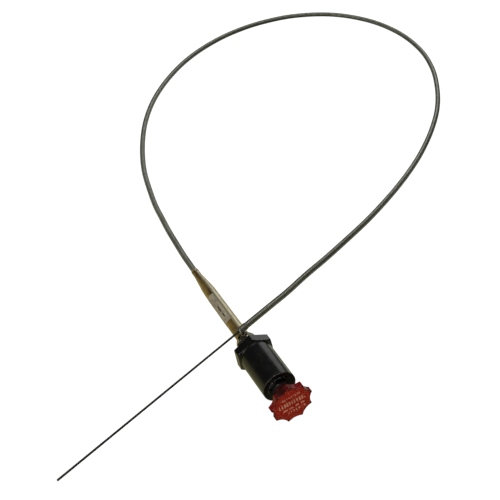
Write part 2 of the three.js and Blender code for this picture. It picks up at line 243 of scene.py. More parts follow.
def eased(corners, columns, cut=0.12, reach=0.45, closed=True):
    """Rows of a turned profile from (radius, along) corners, each a number or one value per column.

    A corner is replaced by a short parabola that starts and ends `cut` before and after it. A row
    `reach` further out on each side ends the band in which an outer corner counts as an edge and an
    inner corner as a hollow. An open profile keeps its two end points as they are.
    """
    given = [(*corner, cut)[:3] for corner in corners]
    points = np.stack([
        np.stack(np.broadcast_arrays(r, d, np.zeros(columns))[:2], axis=-1).astype(float)
        for r, d, _ in given
    ])
    free = np.ones((len(given), 1))
    if not closed:
        free[[0, -1]] = 0
    ways = np.stack([np.roll(points, shift, axis=0) - points for shift in (1, -1)])
    spans = np.linalg.norm(ways, axis=-1)
    ways /= np.maximum(spans, 1e-9)[..., None]
    cuts = np.array([c for *_, c in given])[:, None]
    cuts = np.minimum(cuts, spans.min(0) * 0.45) * free
    start, end = points + ways * cuts[..., None]
    outer = points + ways * (np.minimum(cuts + reach, spans * 0.48) * free)[..., None]
    t = np.linspace(0, 1, 4)[None, :, None, None]
    curve = (
        (1 - t) ** 2 * start[:, None] + 2 * t * (1 - t) * points[:, None] + t ** 2 * end[:, None])
    rows = np.concatenate([outer[0][:, None], curve, outer[1][:, None]], axis=1)
    back, ahead = ways
    turn = back[..., 1] * ahead[..., 0] - back[..., 0] * ahead[..., 1]
    following = np.roll(points, -1, axis=0)
    area = (points[..., 0] * following[..., 1] - points[..., 1] * following[..., 0]).sum()
    turn = turn * np.sign(area) * free
    share = np.array([0, 0.75, 1, 1, 0.75, 0])[None, :, None]
    edge = np.clip(turn, 0, 1)[:, None] * share
    hollow = np.clip(-turn, 0, 1)[:, None] * share
    return rows.reshape(-1, columns, 2), edge.reshape(-1, columns), hollow.reshape(-1, columns)


def turned(profile, angles, **seat):
    """Surface of revolution: a point of the profile at each angle about the axis."""
    radius, along = profile[..., 0], profile[..., 1]
    return place(radius * np.cos(angles), along, radius * np.sin(angles), **seat)


def make_piece(name, parts, crease=38):
    """One welded mesh from parts of (points, quads, {mark: values}), its faces turned outwards.

    Equal points become one, faces that this leaves with no area go, and the sign of the enclosed
    volume says whether the winding has to be reversed.
    """
    sizes = np.cumsum([0] + [part[0].reshape(-1, 3).shape[0] for part in parts])
    points = np.concatenate([part[0].reshape(-1, 3) for part in parts])
    quads = np.concatenate([part[1] + start for part, start in zip(parts, sizes)])
    keys = np.round(points / (MM * 0.0005)).astype(np.int64)
    _, first, merged = np.unique(keys, axis=0, return_index=True, return_inverse=True)
    quads = merged.reshape(-1)[quads]
    following = np.roll(quads, -1, axis=1)
    doubled = quads == following
    crossed = (quads[:, 0] == quads[:, 2]) | (quads[:, 1] == quads[:, 3])
    whole = quads[(doubled.sum(1) == 0) & ~crossed]
    thin = doubled.sum(1) == 1
    triangles = quads[thin][~doubled[thin]].reshape(-1, 3)
    corners = np.concatenate([whole.ravel(), triangles.ravel()])
    used, packed = np.unique(corners, return_inverse=True)
    whole, triangles = packed[:whole.size].reshape(-1, 4), packed[whole.size:].reshape(-1, 3)
    points = points[first][used]
    fan = np.concatenate([whole[:, [0, 1, 2]], whole[:, [0, 2, 3]], triangles])
    a, b, c = points[fan[:, 0]], points[fan[:, 1]], points[fan[:, 2]]
    if (a * np.cross(b, c)).sum() < 0:
        whole, triangles = whole[:, ::-1], triangles[:, ::-1]
    mesh = bpy.data.meshes.new(name)
    mesh.from_pydata(points.tolist(), [], whole.tolist() + triangles.tolist())
    for mark in sorted({mark for part in parts for mark in part[2]}):
        values = np.concatenate([
            np.broadcast_to(part[2].get(mark, 0), part[0].shape[:-1]).ravel() for part in parts
        ])
        layer = mesh.attributes.new(mark, "FLOAT", "POINT")
        layer.data.foreach_set("value", values[first][used].astype(np.float32))
    mesh.shade_smooth()
    mesh.set_sharp_from_angle(angle=np.radians(crease))
    piece = bpy.data.objects.new(name, mesh)
    bpy.context.scene.collection.objects.link(piece)
    return piece


def lathe(name, corners, angles, bend=None, seat=None, closed=True, **rounding):
    """A piece turned about its axis; bend(points in mm, marks) may change the rows first."""
    profile, edge, hollow = eased(corners, len(angles), closed=closed, **rounding)
    marks = {"edge": edge, "hollow": hollow}
    if bend:
        profile, marks = bend(profile, marks)
    points = turned(profile, angles, **(seat or {}))
    return make_piece(name, [(points, net(*points.shape[:2], wrap_rows=closed), marks)])


def shaded_on_top(angles):
    """Marks the upper side of a nut, from 15 to 125 degrees, with painted shade in its hollow mark,
    for the dark reflection on its top facets.
    """
    around = np.degrees(angles) % 360
    above = 0.3 * np.clip((around - 15) / 15, 0, 1) * np.clip((125 - around) / 15, 0, 1)

    def darken_top(profile, marks):
        return profile, {**marks, "hollow": np.maximum(marks["hollow"], above)}

    return darken_top


def round_angles(count):
    return np.arange(count) * 2 * np.pi / count


def hexagon_angles(corner):
    """Angles round a hexagon, close together at its corners."""
    offsets = np.radians([0, 0.7, 1.4, 2.2, 3.4, 5.5, 8.5, 12.5, 17, 21.5, 26, 30])
    sector = np.concatenate([offsets, np.radians(60) - offsets[-2:0:-1]])
    return (np.radians(corner) + np.arange(6)[:, None] * np.radians(60) + sector).ravel()


def hexagon(flats, angles, corner):
    """Radius of a hexagon with softened corners: the power mean of its six faces' distances."""
    sharpness = 150
    normals = np.radians(corner + 30 + 60 * np.arange(6))[:, None]
    facing = np.clip(np.cos(angles - normals), 0, None)
    return flats / 2 * (facing ** sharpness).sum(0) ** (-1 / sharpness)


def nut_corners(flats, front, back, angles, corner, chamfer):
    """The profile corners of a hexagon whose points a cone turns down at both ends."""
    radius = hexagon(flats, angles, corner)
    inner, outer = flats / 2 + 0.2, flats / np.sqrt(3) + 0.1
    deep = chamfer * np.clip((radius - inner) / (outer - inner), 0, 1)
    face = np.minimum(radius, inner)
    return [(face, front), (radius, front + deep), (radius, back - deep), (face, back)]


def spiral(distance, pitch, per_turn, sides):
    """Grid of a ridge wound round a tube.

    Row i, column j lies at pitch*(i/per_turn + j/sides) along it, held between 0 and distance, and
    one turn on, column 0 is per_turn rows further. Returns along, phase through the pitch (-1 where
    the ends hold it) and quads.
    """
    last = (int(np.ceil(distance / pitch)) + 1) * per_turn
    i = np.arange(-per_turn, last + 1)
    along = pitch * (i[:, None] / per_turn + np.arange(sides) / sides)
    phase = np.where((along > 0) & (along < distance), (i[:, None] % per_turn) / per_turn, -1)
    rows = len(i)
    inner = net(rows, sides, wrap_columns=False)
    k = np.arange(rows - per_turn - 1)
    seam = np.stack([
        k * sides + sides - 1, (k + 1) * sides + sides - 1,
        (k + 1 + per_turn) * sides, (k + per_turn) * sides,
    ], axis=-1)
    return np.clip(along, 0, distance), phase, np.concatenate([inner, seam])


def wound(phase):
    """Height of a half-round wire across its width, 0 in the groove and 1 on top."""
    return np.sqrt(np.clip(1 - (2 * np.clip(phase, 0, 1) - 1) ** 2, 0, 1))


def smooth_route(points):
    """Centripetal Catmull-Rom curve: cubic spans whose speeds follow the root of each chord."""
    p = np.vstack([2 * points[0] - points[1], points, 2 * points[-1] - points[-2]])
    step = np.linalg.norm(np.diff(p, axis=0), axis=1)[:, None] ** 0.5
    x0, x1, x2, x3 = p[:-3], p[1:-2], p[2:-1], p[3:]
    d0, d1, d2 = step[:-2], step[1:-1], step[2:]
    leave = ((x1 - x0) / d0 - (x2 - x0) / (d0 + d1) + (x2 - x1) / d1) * d1
    arrive = ((x2 - x1) / d1 - (x3 - x1) / (d1 + d2) + (x3 - x2) / d2) * d1
    t = np.linspace(0, 1, 40, endpoint=False)[None, :, None]
    x1, x2, leave, arrive = (a[:, None] for a in (x1, x2, leave, arrive))
    spans = x1 + leave * t + (3 * (x2 - x1) - 2 * leave - arrive) * t ** 2
    spans = spans + (2 * (x1 - x2) + leave + arrive) * t ** 3
    return np.vstack([spans.reshape(-1, 3), points[-1]])


def distances(path):
    return np.concatenate([[0], np.cumsum(np.linalg.norm(np.diff(path, axis=0), axis=1))])


def at_distances(values, reached, along):
    """Vectors at given distances, straight between those that are known at `reached`."""
    return np.stack([np.interp(along, reached, values[:, axis]) for axis in range(3)], axis=-1)


def along_path(path, along):
    """Points of the path at given distances along it."""
    return at_distances(path, distances(path), along)


def sleeve(path, along, angle, radius):
    """Points round a path at each distance and angle; side = up x tangent keeps it untwisted."""
    reached = distances(path)
    tangent = np.gradient(path, reached, axis=0)
    side = np.cross([0, 0, 1], tangent)
    side /= np.linalg.norm(side, axis=1)[:, None]
    over = np.cross(tangent, side)
    over /= np.linalg.norm(over, axis=1)[:, None]
    centre, side, over = (at_distances(each, reached, along) for each in (path, side, over))
    out = side * np.cos(angle)[..., None] + over * np.sin(angle)[..., None]
    return (centre + out * np.asarray(radius)[..., None]) * MM


def lobed_outline(knob):
    """Outline of the knob: round tips joined by hollow flutes, each arc tangent to the next.

    Returns the angle and radius of each point and 1 on the tips.
    """
    tip_round, flute = mm(knob.tip_round), mm(knob.flute_radius)
    tip_at, half = mm(knob.tip_radius) - tip_round, np.pi / knob.lobes
    hollow = (tip_at ** 2 + flute ** 2 - 2 * tip_at * flute * np.cos(half) - tip_round ** 2) / (
        2 * (tip_at * np.cos(half) + tip_round - flute))
    hollow_at = flute + hollow
    reach = np.arctan2(tip_at * np.sin(half), hollow_at - tip_at * np.cos(half))
    turn = np.linspace(-half - reach, half + reach, 9)
    swing = np.linspace(reach, -reach, 21)[1:-1]
    tips = np.stack([tip_at + tip_round * np.cos(turn), tip_round * np.sin(turn)])
    flutes = hollow_at * np.array([[np.cos(half)], [np.sin(half)]]) - hollow * np.stack(
        [np.cos(half + swing), np.sin(half + swing)])
    x, y = np.concatenate([tips, flutes], axis=1)
    starts = knob.phase + 2 * half * np.arange(knob.lobes)[:, None]
    angles = (starts + np.arctan2(y, x)).ravel()
    on_tip = np.concatenate([np.ones(len(turn)), np.zeros(len(swing))])
    return angles, np.tile(np.hypot(x, y), knob.lobes), np.tile(on_tip, knob.lobes)


def bars(middle, half, height, tilt, base):
    """Raised bars on the knob's face: superellipses drawn in towards their middles as they rise.

    middle and half are (count, 2) arrays in the face's own row and column directions.
    """
    columns, power = 40, 0.42
    angle = round_angles(columns)
    circle = np.stack([np.cos(angle), np.sin(angle)], axis=-1)
    shape = np.sign(circle) * np.abs(circle) ** power
    inset = np.array([1e3, 0, 0, 0.06, 0.2, 0.34, 1e3])
    lift = np.array([-0.2, -0.2, 0.55, 0.8, 0.97, 1, 1]) * height
    size = np.clip(half[:, None, :] - inset[None, :, None], 0, None)
    flat = middle[:, None, None, :] + size[:, :, None, :] * shape
    across = flat[..., 0] * np.cos(tilt) - flat[..., 1] * np.sin(tilt)
    above = flat[..., 0] * np.sin(tilt) + flat[..., 1] * np.cos(tilt)
    points = place(across, base - np.broadcast_to(lift[None, :, None], across.shape), above)
    worn = np.clip(lift / height, 0, 1)[:, None] + np.zeros(columns)
    quads = net(len(inset), columns)
    return [(each, quads, {"edge": worn}) for each in points]


def wrapped_plate(front, back, start, end, radius_at, lift, thick, corner):
    """A thin plate bent round the tube, its outline a rectangle with round corners.

    Across each row it goes over the top and back underneath, and the first and last rows close up.
    """
    rows, columns = 40, 25
    middle, half = (front + back) / 2, (back - front) / 2
    along = middle - half * np.cos(np.linspace(0, np.pi, rows))
    radius = radius_at(along)
    half_arc = np.radians(end - start) / 2 * radius
    over = np.clip(np.abs(along - middle) - (half - corner), 0, corner)
    width = half_arc - corner + np.sqrt(np.clip(corner ** 2 - over ** 2, 0, None))
    across = np.concatenate([np.linspace(-1, 1, columns), np.linspace(1, -1, columns)])
    top = np.concatenate([np.ones(columns), np.zeros(columns)])
    angle = np.radians(start + end) / 2 + (width / radius)[:, None] * across
    rise = np.where((np.arange(rows) % (rows - 1) == 0)[:, None], 0.5, top)
    reach = radius[:, None] + lift + thick * rise
    points = place(reach * np.cos(angle), along[:, None], reach * np.sin(angle))
    edge = np.clip(1 - np.minimum(1 - np.abs(across), 0.2) / 0.1, 0, 1) * top + np.zeros((rows, 1))
    return points, net(rows, 2 * columns), {"edge": edge}


# Node groups and finishes

def feed(tree, node, feeds):
    """Links or sets each named input; a colour gets its fourth number here."""
    for name, value in feeds.items():
        socket = node.inputs[name]
        if isinstance(value, bpy.types.NodeSocket):
            tree.links.new(value, socket)
        elif socket.type == "RGBA":
            socket.default_value = (*tuple(value)[:3], 1)
        else:
            socket.default_value = value


def put(tree, kind, feeds=None, **options):
    """Adds a node, sets its options, and feeds its inputs."""
    made = tree.nodes.new("ShaderNode" + kind)
    for option, value in options.items():
        setattr(made, option, value)
    feed(tree, made, feeds or {})
    return made


def mixed(tree, factor, first, second):
    return put(tree, "Mix", {0: factor, 6: first, 7: second}, data_type="RGBA").outputs[2]


def maths(tree, operation, first, second, clamp=False):
    return put(tree, "Math", {0: first, 1: second}, operation=operation, use_clamp=clamp).outputs[0]


def times(tree, first, second, clamp=False):
    return maths(tree, "MULTIPLY", first, second, clamp)


def ranged(tree, value, low, high, to_low=0.0, to_high=1.0):
    feeds = {"Value": value, "From Min": low, "From Max": high, "To Min": to_low, "To Max": to_high}
    return put(tree, "MapRange", feeds).outputs[0]


def noise(tree, scale, detail=3.0, stretch=(1, 1, 1)):
    """Noise on the object's own coordinates; scale is in cells per metre."""
    where = put(tree, "TexCoord").outputs["Object"]
    if isinstance(stretch, bpy.types.NodeSocket) or tuple(stretch) != (1, 1, 1):
        where = put(tree, "Mapping", {"Vector": where, "Scale": stretch}).outputs[0]
    feeds = {"Vector": where, "Scale": scale, "Detail": detail, "Roughness": NOISE_ROUGHNESS}
    return put(tree, "TexNoise", feeds).outputs[0]


def mark(tree, name):
    return put(tree, "Attribute", attribute_name=name).outputs["Fac"]


def worn_edges(tree, given):
    """Bare metal or pale plastic where an outer edge meets a patch of noise."""
    patch = noise(tree, given["Patches"], 4.0)
    wear = times(tree, mark(tree, "edge"), ranged(tree, patch, 0.35, 0.65))
    mask = times(tree, ranged(tree, wear, 0.25, 0.75), given["Amount"], clamp=True)
    return {"Colour": mixed(tree, mask, given["Colour"], given["Worn"]), "Mask": mask}


def grime_and_shade(tree, given):
    """Dirt in the hollows, and thinner in patches over the whole surface; where the hollow mark
    holds painted shade, as on the knob's neck and flute and the nuts' tops, the same colour paints
    that shade.
    """
    patch = ranged(tree, noise(tree, given["Patches"], 5.0), 0.42, 0.72)
    deep = times(tree, mark(tree, "hollow"), given["Hollows"])
    film = times(tree, patch, given["Film"])
    mask = maths(tree, "ADD", deep, film, clamp=True)
    return {"Colour": mixed(tree, mask, given["Colour"], given["Dirt and shade"])}


def patchy_value(tree, given):
    """A value that wanders between two limits."""
    patch = noise(tree, given["Patches"], 4.0)
    return {"Value": ranged(tree, patch, 0.3, 0.7, given["Low"], given["High"])}


def tool_marks(tree, given):
    """Height of fine tool marks: noise drawn out by the stretch on each axis."""
    lines = noise(tree, given["Size"], 2.0, given["Stretch"])
    dents = ranged(tree, noise(tree, 700.0, 2.0), 0.62, 0.78)
    return {"Height": maths(tree, "SUBTRACT", lines, times(tree, dents, given["Dents"]))}


# Each shared effect's maker, and its inputs with their defaults.
EFFECTS = {
    "Worn edges": (worn_edges, {
        "Colour": (0.5, 0.5, 0.5, 1), "Worn": (0.8, 0.8, 0.8, 1), "Amount": 0.5, "Patches": 600.0}),
    # Grime also paints shade where a piece's hollow mark holds painted shade.
    "Grime and shade": (grime_and_shade, {
        "Colour": (0.5, 0.5, 0.5, 1), "Dirt and shade": (0.03, 0.025, 0.02, 1),
        "Hollows": 0.8, "Film": 0.2, "Patches": 250.0}),
    "Patchy value": (patchy_value, {"Low": 0.2, "High": 0.5, "Patches": 300.0}),
    "Tool marks": (tool_marks, {"Stretch": (1, 1, 1), "Size": 2000.0, "Dents": 0.3}),
}
SOCKET_KINDS = {1: "NodeSocketFloat", 3: "NodeSocketVector", 4: "NodeSocketColor"}
GROUPS = {}


def build_group(name):
    """The node group of a shared effect; a socket's kind follows from its default or its source."""
    make, takes = EFFECTS[name]
    tree = bpy.data.node_groups.new(name, "ShaderNodeTree")
    for label, default in takes.items():
        kind = SOCKET_KINDS[np.size(default)]
        tree.interface.new_socket(label, in_out="INPUT", socket_type=kind).default_value = default
    gives = make(tree, tree.nodes.new("NodeGroupInput").outputs)
    for label, source in gives.items():
        kind = SOCKET_KINDS[4 if source.type == "RGBA" else 1]
        tree.interface.new_socket(label, in_out="OUTPUT", socket_type=kind)
    feed(tree, tree.nodes.new("NodeGroupOutput"), gives)
    return tree


def use_group(tree, name, **feeds):
    """Places a shared effect in a material, building it the first time."""
    if name not in GROUPS:
        GROUPS[name] = build_group(name)
    return put(tree, "Group", feeds, node_tree=GROUPS[name]).outputs


def start_material(name, constants):
    """A material with its shader, whose plain numbers are set on the shader's own sockets."""
    material = bpy.data.materials.new(name)
    material.use_nodes = True
    tree = material.node_tree
    tree.nodes.clear()
    shader = put(tree, "BsdfPrincipled", constants)
    put(tree, "OutputMaterial", {"Surface": shader.outputs[0]})
    return material, tree, shader


def weathered(tree, base, wear, dirt_and_shade):
    """Worn edges, (colour, amount, patches), under grime and painted shade, (colour, hollows, film,
    patches).

    Returns the colour and the mask of the bare edges.
    """
    bare = use_group(
        tree, "Worn edges", Colour=base, **dict(zip(("Worn", "Amount", "Patches"), wear)))
    grimy_and_shaded = use_group(
        tree, "Grime and shade", Colour=bare["Colour"],
        **dict(zip(("Dirt and shade", "Hollows", "Film", "Patches"), dirt_and_shade)))
    return grimy_and_shaded["Colour"], bare["Mask"]


def dress(tree, shader, colour, low, high, patches, depth, **marks):
    """Feeds colour, a roughness between low and high and the tool marks' bump to the shader."""
    height = use_group(tree, "Tool marks", **marks)["Height"]
    bump = put(tree, "Bump", {"Height": height, "Distance": depth * MM, "Strength": 1.0})
    feed(tree, shader, {
        "Base Color": colour, "Normal": bump.outputs[0],
        "Roughness": use_group(tree, "Patchy value", Low=low, High=high, Patches=patches)["Value"],
    })


def red_plastic(tree, shader, knob):
    """Moulded red plastic, faded and speckled on its face, its body a darker red partly as painted
    shade, its edges and corners dark with dirt, its neck and one flute's wall darkened as painted
    shade.
    """
    face = mark(tree, "face")
    fade = ranged(tree, noise(tree, 160.0, 4.0), 0.25, 0.75, 0.55, 1.0)
    base = mixed(tree, times(tree, face, fade), knob.body, knob.face)
    speckle = ranged(tree, noise(tree, 900.0), 0.5, 0.75, 0.0, 0.5)
    base = mixed(tree, times(tree, face, speckle), base, knob.marks)
    # The dirt colour here also paints the shade on the neck and on the shaded flute's wall, through
    # their hollow mark.
    base, _ = weathered(
        tree, base, ((0.03, 0.004, 0.004), 0.75, 420.0), ((0.025, 0.006, 0.005), 0.95, 0.12))
    feed(tree, shader, {"Coat Weight": ranged(tree, face, 0, 1, 0.5, 0.03)})
    dress(tree, shader, base, 0.26, 0.46, 350.0, 0.03, Size=1400.0, Dents=0.5)


def rubbed_marks(tree, shader, knob):
    """Tops of the raised bars, rubbed pale, with red left on their sides."""
    patch = ranged(tree, noise(tree, 420.0, 4.0), 0.35, 0.52)
    base = mixed(tree, times(tree, mark(tree, "edge"), patch), knob.face, knob.marks)
    dress(tree, shader, base, 0.35, 0.55, 500.0, 0.04, Size=1800.0, Dents=0.5)


def black_finish(tree, shader, barrel):
    """Gloss black finish over metal, rubbed bright in spots on its edges."""
    base, bare = weathered(
        tree, barrel.black, (barrel.bare, 0.35, 500.0), ((0.014, 0.013, 0.009), 0.5, 0.25, 140.0))
    feed(tree, shader, {"Metallic": times(tree, bare, 0.8)})
    dress(
        tree, shader, base, 0.2, 0.34, 200.0, 0.012,
        Stretch=(0.15, 2.5, 0.15), Size=900.0, Dents=0.4)


def yellow_plate(tree, shader, tube):
    """Yellow-gold plate with brown tarnish and fine turning marks, and painted light round it: pale
    on the right as painted highlight, darker elsewhere and in a middle band as painted shade.
    """
    cloud = ranged(tree, noise(tree, 110.0, 5.0, (1, 0.35, 1)), 0.42, 0.62)
    # The band term adds a painted dark band along the tube's middle to the tarnish clouds.
    dull = maths(tree, "ADD", times(tree, cloud, 0.6), mark(tree, "streak"), clamp=True)
    shaded_side = mixed(tree, dull, tube.shaded_plate, tube.tarnish)
    # Where the stain mark is low, on the right side, the pale plate stays as painted highlight.
    base = mixed(tree, mark(tree, "stain"), tube.plate, shaded_side)
    base, _ = weathered(
        tree, base, ((0.62, 0.55, 0.40), 0.6, 500.0), ((0.035, 0.026, 0.012), 0.9, 0.2))
    dress(tree, shader, base, 0.2, 0.4, 260.0, 0.015, Stretch=TURNED, Size=1100.0, Dents=0.6)


def plain_metal(tree, shader, base, low=0.28, high=0.45, stretch=TURNED, film=0.2):
    """Turned or drawn metal with an oily film."""
    cloud = ranged(tree, noise(tree, 180.0, 4.0), 0.35, 0.7, 0.0, 0.35)
    base, _ = weathered(
        tree, mixed(tree, cloud, base, (0.08, 0.07, 0.05)),
        ((0.6, 0.58, 0.52), 0.5, 700.0), ((0.03, 0.026, 0.02), 0.85, film))
    dress(tree, shader, base, low, high, 300.0, 0.015, Stretch=stretch, Size=1500.0, Dents=0.3)


def spiral_steel(tree, shader, conduit):
    """Close-wound steel: bright ridges, oily grooves, dull patches, and stretches darkened as
    painted shade.
    """
    cloud = ranged(tree, noise(tree, 45.0, 5.0), 0.35, 0.7, 0.0, 0.4)
    # The darker steel goes where the stain mark carries painted shade.
    clean = mixed(tree, mark(tree, "stain"), conduit.steel, conduit.shaded_steel)
    base, _ = weathered(
        tree, mixed(tree, cloud, clean, (0.20, 0.20, 0.15)),
        ((0.42, 0.42, 0.35), 0.45, 900.0), ((0.02, 0.018, 0.012), 0.85, 0.15))
    dress(tree, shader, base, 0.3, 0.5, 350.0, 0.02, Size=2500.0, Dents=0.4)


def felt(tree, shader):
    """Pressed felt, soaked in oil here and there."""
    soaked = ranged(tree, noise(tree, 500.0, 6.0), 0.3, 0.7)
    base = mixed(tree, soaked, (0.42, 0.37, 0.27), (0.18, 0.15, 0.10))
    dress(tree, shader, base, 0.85, 0.98, 600.0, 0.1, Size=5000.0, Dents=0.2)


def label_foil(tree, shader, tube):
    """A blank foil label, clouded and lifted bright at its edges."""
    cloud = ranged(tree, noise(tree, 170.0, 5.0, (1, 0.6, 1)), 0.35, 0.7)
    base, _ = weathered(
        tree, mixed(tree, times(tree, cloud, 0.8), tube.label, (0.32, 0.27, 0.23)),
        ((0.7, 0.64, 0.5), 0.6, 500.0), ((0.09, 0.075, 0.05), 0.8, 0.4, 420.0))
    dress(tree, shader, base, 0.4, 0.65, 300.0, 0.02, Size=1200.0, Dents=0.6)


def label_ink(tree, shader, tube):
    """Faded black ink."""
    fade = ranged(tree, noise(tree, 900.0, 4.0), 0.45, 0.8, 0.0, 0.4)
    base = mixed(tree, fade, tube.ink, tube.label)
    dress(tree, shader, base, 0.5, 0.7, 500.0, 0.01, Size=2500.0)


FINISHES = {}


def finish(name):
    """The named finish, made once from its shader's plain numbers, its maker and the settings."""
    control = bpy.context.scene.engine_control
    conduit, steel = control.conduit, {"Metallic": 1.0}
    plastic, coat = {"Specular IOR Level": 0.1}, {"Coat Roughness": 0.1}
    makers = {
        "red_plastic": ({**plastic, "Coat Roughness": 0.15}, red_plastic, control.knob),
        "rubbed_marks": (plastic, rubbed_marks, control.knob),
        "black_finish": ({**coat, "Coat Weight": 0.3}, black_finish, control.barrel),
        "yellow_plate": (
            {**coat, "Metallic": 0.6, "Coat Weight": 0.8}, yellow_plate, control.tube),
        "bright_plate": (steel, plain_metal, (0.60, 0.54, 0.38), 0.1, 0.2),
        "brass": (steel, plain_metal, (0.52, 0.38, 0.16)),
        "plain_steel": (steel, plain_metal, control.plunger.steel),
        "spring_steel": (steel, plain_metal, (0.24, 0.24, 0.25)),
        "dull_steel": (
            {"Metallic": 0.6}, plain_metal, (0.20, 0.20, 0.16), 0.35, 0.5, (1, 1, 1), 0.4),
        "dark_wire": ({"Metallic": 0.4}, plain_metal, conduit.dark, 0.3, 0.5, (1, 1, 1), 0.3),
        "spiral_steel": ({"Metallic": 0.85}, spiral_steel, conduit),
        "felt": ({"Sheen Weight": 0.3}, felt),
        "label_foil": ({"Metallic": 0.15}, label_foil, control.tube),
        "label_ink": ({}, label_ink, control.tube),
    }
    if name not in FINISHES:
        constants, make, *given = makers[name]
        FINISHES[name], tree, shader = start_material(name, constants)
        make(tree, shader, *given)
    return FINISHES[name]


def ride_on(piece, body, slot, finish_name, *stands_for):
    """Gives a piece its finish, puts it on its body and hides the frame's parts that it stands for;
    slot is not used.
    """
    piece.data.materials.append(finish(finish_name))
    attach(piece, body)
    if stands_for:
        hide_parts(*stands_for)
    return piece


# Stage

def aim(thing, place_at, target):
    thing.location = place_at
    thing.rotation_mode = "QUATERNION"
    thing.rotation_quaternion = (Vector(target) - Vector(place_at)).to_track_quat("-Z", "Y")


def set_camera(context):
    data = bpy.data.cameras.new("Camera")
    data.lens, data.sensor_width = CAMERA_LENS, CAMERA_SENSOR
    data.clip_start, data.clip_end = 0.01, 200
    camera = bpy.data.objects.new("Camera", data)
    context.scene.collection.objects.link(camera)
    aim(camera, CAMERA_AT, CAMERA_TARGET)
    context.scene.camera = camera
    context.scene.view_settings.view_transform = "Standard"


def lay_floor(settings):
    """A disc of rings that is white to the camera and a dim card to the object.

    The light that it gives the object is paler beyond the head and to its right, and fades out on
    the left, in front and under the far part of the loop.
    """
    rings = np.array([0, 0.5, 2, 8, 40])[:, None]
    angles = round_angles(64)
    x, y, z = np.broadcast_arrays(rings * np.cos(angles), rings * np.sin(angles), 0.0)
    quads = net(*x.shape)[:, ::-1]
    floor = make_piece("floor", [(np.stack([x, y, z], axis=-1), quads, {})])
    matt = {"Roughness": 0.9, "Specular IOR Level": 0}
    material, tree, shader = start_material("floor", matt)
    seen = put(tree, "LightPath").outputs["Is Camera Ray"]
    x, y, _ = put(tree, "SeparateXYZ", {0: put(tree, "TexCoord").outputs["Object"]}).outputs
    left = ranged(tree, x, -0.18, 0.0, 0.2, 1)
    front = ranged(tree, y, -0.09, -0.05, 0.08, 1)
    beyond = times(tree, ranged(tree, y, 0.10, 0.28), left)
    pale = maths(tree, "MAXIMUM", beyond, ranged(tree, x, 0.035, 0.08, 0.0, 0.8))
    card = mixed(tree, pale, settings.mirrored, PALE_CARD)
    far = times(tree, ranged(tree, x, 0.15, 0.35, 1, 0.35), ranged(tree, y, 0.35, 0.55, 1, 0.15))
    card = mixed(tree, times(tree, times(tree, left, front), far), (0, 0, 0), card)
    tone = mixed(tree, noise(tree, 3.0), settings.floor, [c * 0.99 for c in settings.floor])
    feed(tree, shader, {
        "Base Color": mixed(tree, seen, (0.05, 0.05, 0.04), tone),
        "Emission Color": mixed(tree, seen, card, settings.glow), "Emission Strength": 1,
    })
    floor.data.materials.append(material)


def hang_lights(context, settings):
    """The dim world, which is bright to the camera only, and the lamps."""
    world = bpy.data.worlds.new("Studio")
    world.use_nodes = True
    tree = world.node_tree
    seen = put(tree, "LightPath").outputs["Is Camera Ray"]
    feed(tree, tree.nodes["Background"], {
        "Color": (1.0, 0.98, 0.92),
        "Strength": ranged(tree, seen, 0, 1, WORLD_STRENGTH * settings.strength, 1),
    })
    context.scene.world = world
    for name, place_at, target, size, radiance, tint in LAMPS:
        data = bpy.data.lights.new(name, "AREA")
        data.shape, data.size, data.size_y = "RECTANGLE", *size
        data.energy = np.pi * size[0] * size[1] * radiance * settings.strength
        data.color = tint
        lamp = bpy.data.objects.new(name, data)
        context.scene.collection.objects.link(lamp)
        lamp.visible_camera = False
        aim(lamp, place_at, target)


# Conduit, ferrule and wire

def full_route():
    """The conduit's line, run on straight into the guide tube and stopped inside the ferrule."""
    route = smooth_route(ROUTE)
    start = route[0] - [0, CONDUIT_IN_TUBE, 0]
    whole = np.vstack([start, route])
    reach = distances(whole)[-1] - CONDUIT_SHORT_OF_MOUTH
    samples = np.linspace(0, reach, int(reach / ROUTE_STEP))
    return along_path(whole, samples), reach


def wire_axes():
    """Seat of the far end: along points from the wire's tip back into the ferrule."""
    along = ROUTE[-1] - WIRE_TIP
    along = along / np.linalg.norm(along)
    side = np.cross(along, [0, 0, 1])
    side /= np.linalg.norm(side)
    return {"origin": ROUTE[-1], "axes": np.stack([side, along, np.cross(side, along)])}


def crimp_ferrule():
    """Turned sleeve whose waist is pressed to six shallow flats."""
    angles = round_angles(72)
    pressed = 2.74 + 0.07 * np.cos(6 * angles)
    corners = [
        (1.2, 0), (2.3, 0), (2.9, 0.6, 0.25), (2.9, 1.8), (pressed, 2.3), (pressed, 5.6),
        (2.9, 6.1), (2.9, 7.1), (3.1, 7.4), (3.1, 8.3), (2.98, 8.6), (2.86, 8.6), (2.86, 2.2),
        (1.2, 2.2),
    ]
    ferrule = lathe("end_ferrule_crimped", corners, angles, seat=wire_axes(), reach=0.2)
    return ride_on(ferrule, "housing", "spiral_steel", "dull_steel", "end_ferrule")


